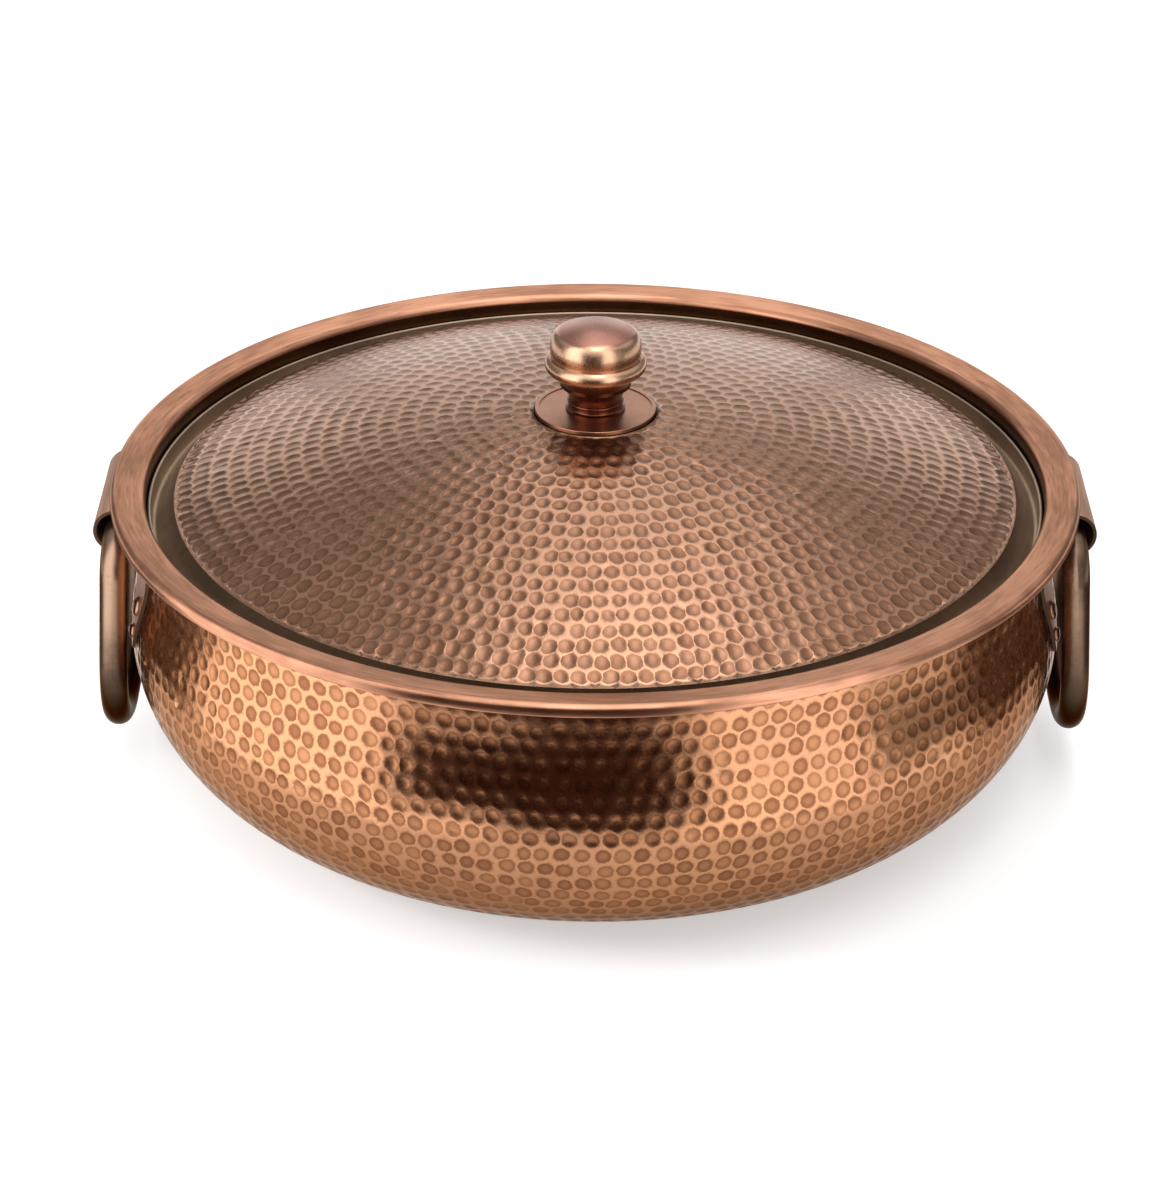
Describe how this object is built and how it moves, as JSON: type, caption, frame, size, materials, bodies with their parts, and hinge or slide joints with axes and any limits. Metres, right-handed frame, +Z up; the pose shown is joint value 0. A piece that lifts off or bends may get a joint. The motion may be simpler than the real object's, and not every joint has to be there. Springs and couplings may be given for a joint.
{
  "type": "fondue pot",
  "caption": "Wide round hammered copper pot with a sunk domed lid, a turned knob and two drop ring handles.",
  "frame": {"origin": "middle of the flat base, on the surface that the pot stands on", "axes": "+Z up, X through both handles, the front faces -Y"},
  "size_m": [0.3922, 0.38, 0.1847],
  "materials": {
    "hammered_copper": "hammered, antiqued copper",
    "plain_copper": "satin copper sheet",
    "turned_copper": "polished antique copper",
    "handle_bronze": "satin bronze",
    "screw_brass": "plain brass"
  },
  "bodies": {
    "pot": {"pot_body": "hammered_copper", "lid_seat_ring": "plain_copper", "handle_bracket_left": "plain_copper", "handle_bracket_right": "plain_copper", "bracket_rivets_left": "plain_copper", "bracket_rivets_right": "plain_copper"},
    "lid": {"lid": "hammered_copper", "knob_disc": "turned_copper", "knob_head": "turned_copper", "knob_washer": "screw_brass", "knob_screw": "screw_brass"},
    "left_ring": {"ring_handle_left": "handle_bronze"},
    "right_ring": {"ring_handle_right": "handle_bronze"}
  },
  "joints": [
    {"name": "lid_lift", "type": "slide", "parent": "pot", "child": "lid", "axis": [0, 0, 1], "range_m": [0, 0.08]},
    {"name": "left_ring_swing", "type": "hinge", "parent": "pot", "child": "left_ring", "pos_m": [-0.1855, 0, 0.10765], "axis": [0, 1, 0], "range_deg": [0, 135]},
    {"name": "right_ring_swing", "type": "hinge", "parent": "pot", "child": "right_ring", "pos_m": [0.1855, 0, 0.10765], "axis": [0, -1, 0], "range_deg": [0, 135]}
  ]
}
